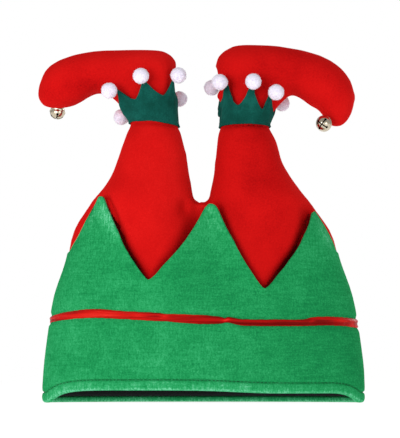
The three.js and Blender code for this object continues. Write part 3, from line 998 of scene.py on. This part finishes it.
def red_satin():
    """Polyester satin: smooth floats along the ribbon give a soft streaky gloss, painted into its colour as
    paler and darker streaks, with painted highlights and painted shade along the ribbon and at single folds.
    """
    material, place = new_material("red_satin")
    along = add_node(material, "ShaderNodeMapping", {"Scale": (0.05, 0.05, 1)}, [("Vector", place)])
    floats = add_node(material, "ShaderNodeTexNoise", {"Scale": grain(3.0), "Detail": 3}, [("Vector", along)])
    # The layer holds painted highlights and painted shade.
    gleam = add_node(material, "ShaderNodeAttribute", {"attribute_name": "gleam"}).outputs["Fac"]
    lit = add_node(material, "ShaderNodeMath", {"operation": "ADD"}, [(0, floats), (1, gleam)])
    stops = ((0.32, "#6A0406"), (0.5, "#9C0A0B"), (0.66, "#C2130F"), (0.85, "#D62C24"))
    shade = add_node(material, "ShaderNodeValToRGB", {"stops": stops}, [("Fac", lit)])
    settings = {"Strength": 0.15, "Distance": 0.2 * MM}
    relief = add_node(material, "ShaderNodeBump", settings, [("Height", floats)])
    shader = add_node(
        material,
        "ShaderNodeBsdfPrincipled",
        {"Roughness": 0.38, "Specular IOR Level": 0.3, "Specular Tint": linear("#FF6A50")},
        [("Base Color", shade), ("Normal", relief)],
    )
    add_node(material, "ShaderNodeOutputMaterial", {}, [("Surface", shader)])
    return material


angles = even_angles(RIBBON_COLUMNS)
shape = bmesh.new()
bmesh.ops.create_grid(shape, x_segments=RIBBON_COLUMNS, y_segments=RIBBON_ROWS, size=0.5)
tone = shape.verts.layers.float.new("gleam")
for vertex in shape.verts:
    around = angles[round((vertex.co.x + 0.5) * RIBBON_COLUMNS)]
    line, width = read_curve(RIBBON_LINE, around)
    across = vertex.co.y * 2
    drift = CREASE_DRIFT * ripple(around, 0.06, 0, 1.3)
    crease = CREASE * math.sin(across * CREASE_PACE + drift)
    crease += CRUMPLE * ripple(around, 0.35, across * 1.2, 5.2)
    tucked = EDGE_TUCK * across**6
    edge = EDGE_WANDER * ripple(around, 0.5, math.copysign(4.4, across), 8.8)
    height = line + across * (width / 2 + edge)
    vertex.co = body_point(around, height, RIBBON_OFFSET + crease - tucked)
    # Painted highlight and painted shade along the ribbon and at single folds.
    vertex[tone] = read_curve(PAINTED_GLEAM, around)[0]
    for middle, level, reach, amount in FOLDS:
        off = across - level
        slanted = (around - middle - off) / reach
        vertex[tone] += amount * math.exp(-(slanted**2) - (off / FOLD_WIDTH) ** 2)
weld(shape)
ribbon = link_mesh("satin_ribbon", shape)
ribbon.data.materials.append(red_satin())
thicken(ribbon, "satin", RIBBON_THICKNESS)
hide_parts("ribbon")
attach(ribbon, "root")

# The ankle cuffs: a strip of dark green wool felt round each ankle, cut in six points towards the foot. The
# lower edge is sewn to the leg, and each point is tacked to a pompom.

FELT = 1.6
POMPOM_DIAMETER = 14.4
CUFF_STEPS = 17
CUFF_ROWS = 36
POINT_HOLLOW = 1.5
TIP_UNDER = 0.45
TIP_TURN = 0.8
TIP_DROP = 0.5
FELT_GAP = 0.4
SEAM_SLACK = 0.4
POINT_SLACK = 4.0
SEAM_GROOVE = 1.1
GROOVE_DROP = 1.2
GROOVE_REACH = 2.0
GROOVE_FACING = (0.3, 0.7)
GROOVE_PAINTED_SHADE = 0.2
CLEAR_OF_ANKLE = 8

# Seam round the ankle: x, z, half width, half depth, tilt. Then the points, going round from the back:
# degrees round, the pompom's x, y and z, and the x, y and z of the notch that follows. All in mm.
CUFFS = {
    "left": (
        (-39.8, 241, 21.6, 22.4, -0.077),
        (
            (-168, -50.5, 33.0, 281.5, -63, 18, 258),
            (-112, -69.7, 16.0, 251.1, -66.8, -1, 250),
            (-58, -78.0, -30.0, 266.0, -55.9, -22, 260.2),
            (-8, -50.7, -33.0, 278.2, -31.8, -20, 264.1),
            (50, -18.7, -21.0, 281.2, -19.5, 11, 257),
            (124, -18.4, 21.0, 268.4, -36, 22, 260),
        ),
    ),
    "right": (
        (38.4, 239, 21.9, 22.4, 0),
        (
            (-188, 44.0, 33.0, 278, 31, 20.5, 256),
            (-118, 10.4, 19.0, 278.1, 18.2, 9, 253),
            (-50, 17.0, -26.0, 274.2, 32.7, -21, 255.2),
            (10, 45.7, -33.6, 273.2, 53.6, -20.5, 251.9),
            (58, 65.3, -31.0, 264.4, 64.6, -1, 249.5),
            (114, 73.4, 26.0, 265.3, 53.5, 20, 252),
        ),
    ),
}


def green_felt():
    """Pressed wool felt: dark, matt, with short matted fibres and slightly lighter flecks."""
    material, place = new_material("green_felt")
    fibres = add_node(material, "ShaderNodeTexNoise", {"Scale": grain(1.1), "Detail": 4}, [("Vector", place)])
    clouds = add_node(material, "ShaderNodeTexNoise", {"Scale": grain(14), "Detail": 2}, [("Vector", place)])
    settings = {"operation": "MULTIPLY_ADD", 1: 0.7}
    both = add_node(material, "ShaderNodeMath", settings, [(0, fibres), (2, clouds)])
    stops = ((0.6, "#093F36"), (0.85, "#0E4B42"), (1.0, "#13564C"))
    shade = add_node(material, "ShaderNodeValToRGB", {"stops": stops}, [("Fac", both)])
    settings = {"Strength": 0.5, "Distance": 0.35 * MM}
    relief = add_node(material, "ShaderNodeBump", settings, [("Height", fibres)])
    shader = add_node(
        material,
        "ShaderNodeBsdfPrincipled",
        {
            "Roughness": 1.0,
            "Specular IOR Level": 0.05,
            "Sheen Weight": 0.12,
            "Sheen Tint": linear("#2E7C70"),
        },
        [("Base Color", shade), ("Normal", relief)],
    )
    add_node(material, "ShaderNodeOutputMaterial", {}, [("Surface", shader)])
    return material


def on_skin(point, clearance, slack):
    """A point moved to lie off the red skin, by a clearance and no more than some slack on top of it."""
    near, normal, _, _ = skin_surface.find_nearest(point)
    gap = (point - near).dot(normal)
    return point + normal * (min(max(gap, clearance), clearance + slack) - gap)


def cuff_columns(seam, points):
    """Pairs of a point on the seam and the point of the cut edge above it, once round the ankle."""
    x, z, half_width, half_depth, tilt = seam

    def on_seam(around):
        turn = math.radians(around)
        side = half_width * math.sin(turn)
        return Vector((x + side, -half_depth * math.cos(turn), z + tilt * side))

    pairs = []
    for i, (around, *row) in enumerate(points):
        after, *next_row = points[(i + 1) % len(points)]
        span = (after - around) % 360
        notch = Vector(row[3:])
        for ball, first, sign in ((Vector(row[:3]), around, 1), (Vector(next_row[:3]), after, -1)):
            inwards = Vector(((x - ball.x) * TIP_TURN, -ball.y, 0)).normalized()
            tip = ball + inwards * POMPOM_DIAMETER * TIP_UNDER + Vector((0, 0, -TIP_DROP))
            flank = []
            for step in range(CUFF_STEPS + 1):
                share = step / CUFF_STEPS
                top = tip.lerp(notch, share)
                top.z = notch.z + (tip.z - notch.z) * (1 - share) ** POINT_HOLLOW
                flank.append((on_seam(first + sign * span / 2 * share), top))
            if sign > 0:
                pairs += flank[:-1]
            else:
                pairs += reversed(flank[1:])
    pairs.append(pairs[0])
    return pairs


def under_seam(i, place):
    """The seam's thread draws the leg in just below the felt's lower edge, most at the front and back, and
    painted shade darkens the pile there.
    """
    depth = 0
    for (x, z, half_width, half_depth, tilt), _ in CUFFS.values():
        across = place.x / MM - x
        if abs(across) < half_width + CLEAR_OF_ANKLE:
            below = place.z / MM - z - tilt * across + GROOVE_DROP
            facing = smooth_step(abs(place.y / MM) / half_depth, *GROOVE_FACING)
            close = math.exp(-((below / GROOVE_REACH) ** 2)) * facing
            # Painted shade along the groove under the felt's lower edge.
            nap[i].value -= GROOVE_PAINTED_SHADE * close
            depth += SEAM_GROOVE * close
    return depth


sink_skin(under_seam)
felt = green_felt()
for side, (seam, points) in CUFFS.items():
    pairs = cuff_columns(seam, points)
    shape = bmesh.new()
    bmesh.ops.create_grid(shape, x_segments=len(pairs) - 1, y_segments=CUFF_ROWS, size=0.5)
    for vertex in shape.verts:
        foot, top = pairs[round((vertex.co.x + 0.5) * (len(pairs) - 1))]
        share = vertex.co.y + 0.5
        point = foot.lerp(top, share) * MM
        slack = mix(SEAM_SLACK, POINT_SLACK, share * share)
        vertex.co = on_skin(point, (FELT + FELT_GAP) * MM, slack * MM)
    weld(shape)
    cuff = link_mesh(f"{side}_felt_cuff", shape)
    thicken(cuff, "felt", FELT)
    cuff.data.materials.append(felt)
    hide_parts(f"{side}_cuff")
    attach(cuff, "root")

# The pompoms: balls of cut white yarn, tied in the middle and trimmed round. Each is sewn to the tip of a
# felt point, and its yarn ends stand out as a fine fuzz.

YARN_LENGTH = 0.9
YARN_WIDTH = 0.28
YARN_ENDS = 420
YARN_LEAN = 0.35
YARN_ROOT = 0.93
BALL_FACE = 0.95

# Lumps of the ball and tufts on them, as shares of its radius: amount, pace of the noise
LUMP = (0.05, 1.8)
TUFT = (0.035, 6)


def white_yarn():
    """Soft acrylic yarn: white with a lilac cast, painted a little darker as painted shade where the bump's
    hollows lie between its ends.
    """
    material, place = new_material("white_yarn")
    ends = add_node(material, "ShaderNodeTexNoise", {"Scale": grain(1.2), "Detail": 2}, [("Vector", place)])
    stops = ((0.3, "#D8D0E3"), (0.6, "#EAE5F3"))
    shade = add_node(material, "ShaderNodeValToRGB", {"stops": stops}, [("Fac", ends)])
    settings = {"Strength": 0.25, "Distance": 0.4 * MM}
    relief = add_node(material, "ShaderNodeBump", settings, [("Height", ends)])
    shader = add_node(
        material,
        "ShaderNodeBsdfPrincipled",
        {
            "Roughness": 1.0,
            "Specular IOR Level": 0.1,
            "Sheen Weight": 0.4,
            "Subsurface Weight": 0.3,
            "Subsurface Radius": (1.0, 0.95, 1.0),
            "Subsurface Scale": 1.5 * MM,
        },
        [("Base Color", shade), ("Normal", relief)],
    )
    add_node(material, "ShaderNodeOutputMaterial", {}, [("Surface", shader)])
    return material


def bulge(out, own, amount, pace):
    """How far a ball's face stands out in a direction; own is the ball's place in the noise."""
    return amount * noise.noise(out * pace + own)


yarn = white_yarn()
draw = random.Random(12)
radius = POMPOM_DIAMETER / 2 * MM
for side, (_, points) in CUFFS.items():
    for number, (_, *row) in enumerate(points, 1):
        centre = Vector(row[:3]) * MM
        shape = bmesh.new()
        bmesh.ops.create_icosphere(shape, subdivisions=4, radius=1)
        own = Vector((draw.uniform(0, 50), draw.uniform(0, 50), draw.uniform(0, 50)))
        for vertex in shape.verts:
            out = vertex.co.normalized()
            lump = bulge(out, own, *LUMP) + bulge(out, own, *TUFT)
            vertex.co = centre + out * radius * (BALL_FACE + lump)
        for _ in range(YARN_ENDS):
            out = Vector((draw.gauss(0, 1), draw.gauss(0, 1), draw.gauss(0, 1))).normalized()
            lean = Vector((draw.uniform(-1, 1), draw.uniform(-1, 1), draw.uniform(-1, 1))) * YARN_LEAN
            along = (out + lean).normalized()
            at = centre + out * radius * (YARN_ROOT + bulge(out, own, *LUMP))
            turn = along.to_track_quat("Z", "Y").to_matrix().to_4x4()
            reach = YARN_LENGTH * draw.uniform(0.5, 1.1) * MM
            bmesh.ops.create_cone(
                shape,
                cap_ends=True,
                segments=3,
                radius1=YARN_WIDTH / 2 * MM,
                radius2=0,
                depth=reach,
                matrix=Matrix.Translation(at + along * reach / 2) @ turn,
            )
        pompom = link_mesh(f"{side}_yarn_pompom_{number}", shape)
        pompom.data.materials.append(yarn)
        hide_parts(f"{side}_pompom_{number}")
        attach(pompom, "root")

# The bells: two pressed half shells of pale gold plated steel, crimped round the middle. The front half has
# a cross of slots with round ends, and a wire shank behind is sewn to the toe with red thread.

BELL_RADIUS = 6.7
BELL_WALL = 0.7
BELL_SEAM = 0.45
BELL_SEAM_REACH = 0.45
BELL_SLOT = 1.1
SLOT_REACH = BELL_RADIUS * 0.72
SLOT_DEPTH = 8
BELL_HOLE = 1.1
HOLE_HEIGHT = -BELL_RADIUS * 0.68
HOLE_DEPTH = 5
HOLE_LEAN = -0.9
LOOSE_BALL = 2.2
LOOSE_BALL_HEIGHT = -3.2
CRISP_EDGE = 50
SHANK_RADIUS = 1.3
SHANK_WIRE = 0.5
THREAD_WIDTH = 0.4
THREAD_SINK = 0.9
THREAD_SQUASH = 0.5

# The middle of each bell, mm, the way its shank points, and the turn of its slots in degrees
BELLS = {
    "left": ((-127.2, 23.2, 257.0), (0.1, 0.3, 0.95), 30),
    "right": ((107.3, -13.9, 240.2), (0.34, 0.9, 0.22), 40),
}


def pale_gold():
    """Bright pale gold plating: mirror-like, with fine handling marks."""
    material, place = new_material("pale_gold_plating")
    marks = add_node(material, "ShaderNodeTexNoise", {"Scale": grain(1.5), "Detail": 4}, [("Vector", place)])
    stops = ((0.3, "#B8AB92"), (0.7, "#D8CDB8"))
    shade = add_node(material, "ShaderNodeValToRGB", {"stops": stops}, [("Fac", marks)])
    gloss = add_node(material, "ShaderNodeMapRange", {"To Min": 0.1, "To Max": 0.28}, [("Value", marks)])
    shader = add_node(
        material,
        "ShaderNodeBsdfPrincipled",
        {"Metallic": 1.0},
        [("Base Color", shade), ("Roughness", gloss)],
    )
    add_node(material, "ShaderNodeOutputMaterial", {}, [("Surface", shader)])
    return material


def dull_steel():
    """The unplated inside of the shell and the loose ball in it: dark and dull."""
    material, place = new_material("dull_steel")
    marks = add_node(material, "ShaderNodeTexNoise", {"Scale": grain(1.0), "Detail": 2}, [("Vector", place)])
    stops = ((0.3, "#15120F"), (0.7, "#2A251F"))
    shade = add_node(material, "ShaderNodeValToRGB", {"stops": stops}, [("Fac", marks)])
    shader = add_node(
        material,
        "ShaderNodeBsdfPrincipled",
        {"Metallic": 0.6, "Roughness": 0.6},
        [("Base Color", shade)],
    )
    add_node(material, "ShaderNodeOutputMaterial", {}, [("Surface", shader)])
    return material


def red_thread():
    """Spun polyester sewing thread: red and nearly matt, with a fine twist."""
    material, place = new_material("red_thread")
    ply = add_node(material, "ShaderNodeTexNoise", {"Scale": grain(0.4), "Detail": 1}, [("Vector", place)])
    stops = ((0.3, "#7A070A"), (0.7, "#B01216"))
    shade = add_node(material, "ShaderNodeValToRGB", {"stops": stops}, [("Fac", ply)])
    shader = add_node(
        material,
        "ShaderNodeBsdfPrincipled",
        {"Roughness": 0.6, "Specular IOR Level": 0.3},
        [("Base Color", shade)],
    )
    add_node(material, "ShaderNodeOutputMaterial", {}, [("Surface", shader)])
    return material


def wire_ring(shape, radius, wire, place):
    """A closed ring of round wire, in the plane that the place matrix turns from XZ."""
    made = bmesh.ops.create_circle(shape, cap_ends=False, segments=10, radius=wire)["verts"]
    bmesh.ops.translate(shape, verts=made, vec=(radius, 0, 0))
    around = {edge for vertex in made for edge in vertex.link_edges}
    before = set(shape.verts) - set(made)
    bmesh.ops.spin(
        shape,
        geom=list(made) + list(around),
        axis=(0, 1, 0),
        cent=(0, 0, 0),
        angle=2 * math.pi,
        steps=24,
        use_merge=True,
    )
    ring = [vertex for vertex in shape.verts if vertex not in before]
    bmesh.ops.transform(shape, verts=ring, matrix=place)
    faces = {face for vertex in ring for face in vertex.link_faces}
    bmesh.ops.recalc_face_normals(shape, faces=list(faces))


gold = pale_gold()
steel = dull_steel()
thread = red_thread()
for side, (middle, shank, roll) in BELLS.items():
    towards_shank = Vector(shank).normalized().to_track_quat("Z", "Y").to_matrix().to_4x4()
    turn = towards_shank @ Matrix.Rotation(math.radians(roll), 4, "Z")
    place = Matrix.Translation(Vector(middle) * MM) @ turn

    shape = bmesh.new()
    bmesh.ops.create_uvsphere(shape, u_segments=56, v_segments=40, radius=BELL_RADIUS * MM)
    for vertex in shape.verts:
        crimp = BELL_SEAM * math.exp(-((vertex.co.z / (BELL_SEAM_REACH * MM)) ** 2))
        flat = Vector((vertex.co.x, vertex.co.y, 0))
        vertex.co += flat.normalized() * crimp * MM
    shell = link_mesh(f"{side}_jingle_bell", shape)
    thicken(shell, "shell", BELL_WALL)

    shape = bmesh.new()
    for quarter in range(2):
        spin = Matrix.Rotation(quarter * math.pi / 2, 4, "Z")
        size = Matrix.Diagonal((SLOT_REACH * 2 * MM, BELL_SLOT * MM, SLOT_DEPTH * MM, 1))
        below = Matrix.Translation((0, 0, -BELL_RADIUS * MM))
        bmesh.ops.create_cube(shape, size=1, matrix=below @ spin @ size)
    slots = link_mesh("slots", shape)
    holes = []
    for quarter in range(4):
        shape = bmesh.new()
        angle = quarter * math.pi / 2
        out = Vector((math.cos(angle), math.sin(angle), 0))
        through = out + Vector((0, 0, HOLE_LEAN))
        lean = through.to_track_quat("Z", "Y").to_matrix().to_4x4()
        at = Matrix.Translation((out * SLOT_REACH + Vector((0, 0, HOLE_HEIGHT))) * MM)
        bmesh.ops.create_cone(
            shape,
            cap_ends=True,
            segments=20,
            radius1=BELL_HOLE * MM,
            radius2=BELL_HOLE * MM,
            depth=HOLE_DEPTH * MM,
            matrix=at @ lean,
        )
        holes.append(link_mesh("hole", shape))
    for cutter in [slots, *holes]:
        cut = shell.modifiers.new("cut", "BOOLEAN")
        cut.operation = "DIFFERENCE"
        cut.solver = "EXACT"
        cut.use_self = True
        cut.object = cutter
    settle(shell)
    for cutter in [slots, *holes]:
        bpy.data.objects.remove(cutter)

    shape = bmesh.new()
    shape.from_mesh(shell.data)
    behind = Matrix.Translation((0, 0, (BELL_RADIUS + SHANK_RADIUS * 0.2) * MM))
    wire_ring(shape, SHANK_RADIUS * MM, SHANK_WIRE * MM, behind)
    inside = Matrix.Translation((0, 0, LOOSE_BALL_HEIGHT * MM))
    bmesh.ops.create_icosphere(shape, subdivisions=3, radius=LOOSE_BALL * MM, matrix=inside)
    for face in shape.faces:
        face.material_index = int(face.calc_center_median().length < (BELL_RADIUS - BELL_WALL / 2) * MM)
    bmesh.ops.transform(shape, verts=shape.verts, matrix=place)
    shape.to_mesh(shell.data)
    shape.free()
    edges = shell.modifiers.new("crisp", "EDGE_SPLIT")
    edges.split_angle = math.radians(CRISP_EDGE)
    shade_softly(shell.data)
    shell.data.materials.append(gold)
    shell.data.materials.append(steel)
    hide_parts(f"{side}_bell")
    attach(shell, "root")

    eye = place @ Vector((0, 0, (BELL_RADIUS + SHANK_RADIUS * 0.7) * MM))
    on_toe = skin_surface.find_nearest(eye)[0]
    run = (on_toe - eye).to_track_quat("X", "Z").to_matrix().to_4x4()
    loop = Matrix.Translation(eye.lerp(on_toe, 0.5)) @ run @ Matrix.Diagonal((1, 1, THREAD_SQUASH, 1))
    shape = bmesh.new()
    wire_ring(shape, (on_toe - eye).length / 2 + THREAD_SINK * MM, THREAD_WIDTH * MM, loop)
    loop_piece = link_mesh(f"{side}_bell_thread", shape)
    loop_piece.data.materials.append(thread)
    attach(loop_piece, "root")

# The studio: a plain white floor and surround that light the hat evenly, a large soft light close in front on
# the left, a weaker one on the right and one behind, and a long lens just above the floor, tipped up at the
# hat.

LIGHT_AIM = Vector((0, 0, 0.15))
CAMERA_PLACE = Vector((0, -1.3, 0.019))
CAMERA_AIM = Vector((0, 0, 0.1585))
FOCAL_LENGTH = 123.5
FLOOR_GLOW = 0.92
SURROUND_LIGHT = 0.46
SURROUND_SEEN = 1.0


def white_floor():
    """A matt white sweep that glows enough to read as plain white."""
    material, place = new_material("studio_floor")
    tone = add_node(material, "ShaderNodeTexNoise", {"Scale": grain(500)}, [("Vector", place)])
    stops = ((0, "#7C7C7C"), (1, "#848484"))
    shade = add_node(material, "ShaderNodeValToRGB", {"stops": stops}, [("Fac", tone)])
    shader = add_node(
        material,
        "ShaderNodeBsdfPrincipled",
        {
            "Roughness": 1.0,
            "Specular IOR Level": 0,
            "Emission Color": linear("#FFFFFF"),
            "Emission Strength": FLOOR_GLOW,
        },
        [("Base Color", shade)],
    )
    add_node(material, "ShaderNodeOutputMaterial", {}, [("Surface", shader)])
    return material


shape = bmesh.new()
bmesh.ops.create_grid(shape, x_segments=4, y_segments=4, size=6)
floor = link_mesh("studio_floor", shape)
floor.data.materials.append(white_floor())

world = bpy.data.worlds.new("white_surround")
bpy.context.scene.world = world
world.use_nodes = True
world.node_tree.nodes.clear()
seen = add_node(world, "ShaderNodeLightPath", {}).outputs["Is Camera Ray"]
settings = {"To Min": SURROUND_LIGHT, "To Max": SURROUND_SEEN}
level = add_node(world, "ShaderNodeMapRange", settings, [("Value", seen)])
surround = add_node(world, "ShaderNodeBackground", {"Color": linear("#FFFFFF")}, [("Strength", level)])
add_node(world, "ShaderNodeOutputWorld", {}, [("Surface", surround)])


def turned_to(aim, place):
    """The turn of a light or a camera that looks from its place at an aim."""
    return (aim - place).to_track_quat("-Z", "Y").to_euler()


def soft_light(name, place, size, power):
    """A round diffuser of a size in metres and a power in watts, out of the camera's sight."""
    data = bpy.data.lights.new(name, "AREA")
    data.shape = "DISK"
    data.size = size
    data.energy = power
    light = bpy.data.objects.new(name, data)
    light.location = place
    light.rotation_euler = turned_to(LIGHT_AIM, place)
    light.visible_camera = False
    bpy.context.scene.collection.objects.link(light)


soft_light("key_light", Vector((-0.38, -0.72, 0.2)), 0.44, 3.4)
soft_light("side_light", Vector((0.6, -0.8, 0.15)), 0.5, 1.3)
soft_light("back_light", Vector((0.9, 0.9, 0.7)), 0.8, 3)

lens = bpy.data.cameras.new("camera")
lens.lens = FOCAL_LENGTH
camera = bpy.data.objects.new("camera", lens)
camera.location = CAMERA_PLACE
camera.rotation_euler = turned_to(CAMERA_AIM, CAMERA_PLACE)
bpy.context.scene.collection.objects.link(camera)
bpy.context.scene.camera = camera
bpy.context.scene.view_settings.view_transform = "Standard"
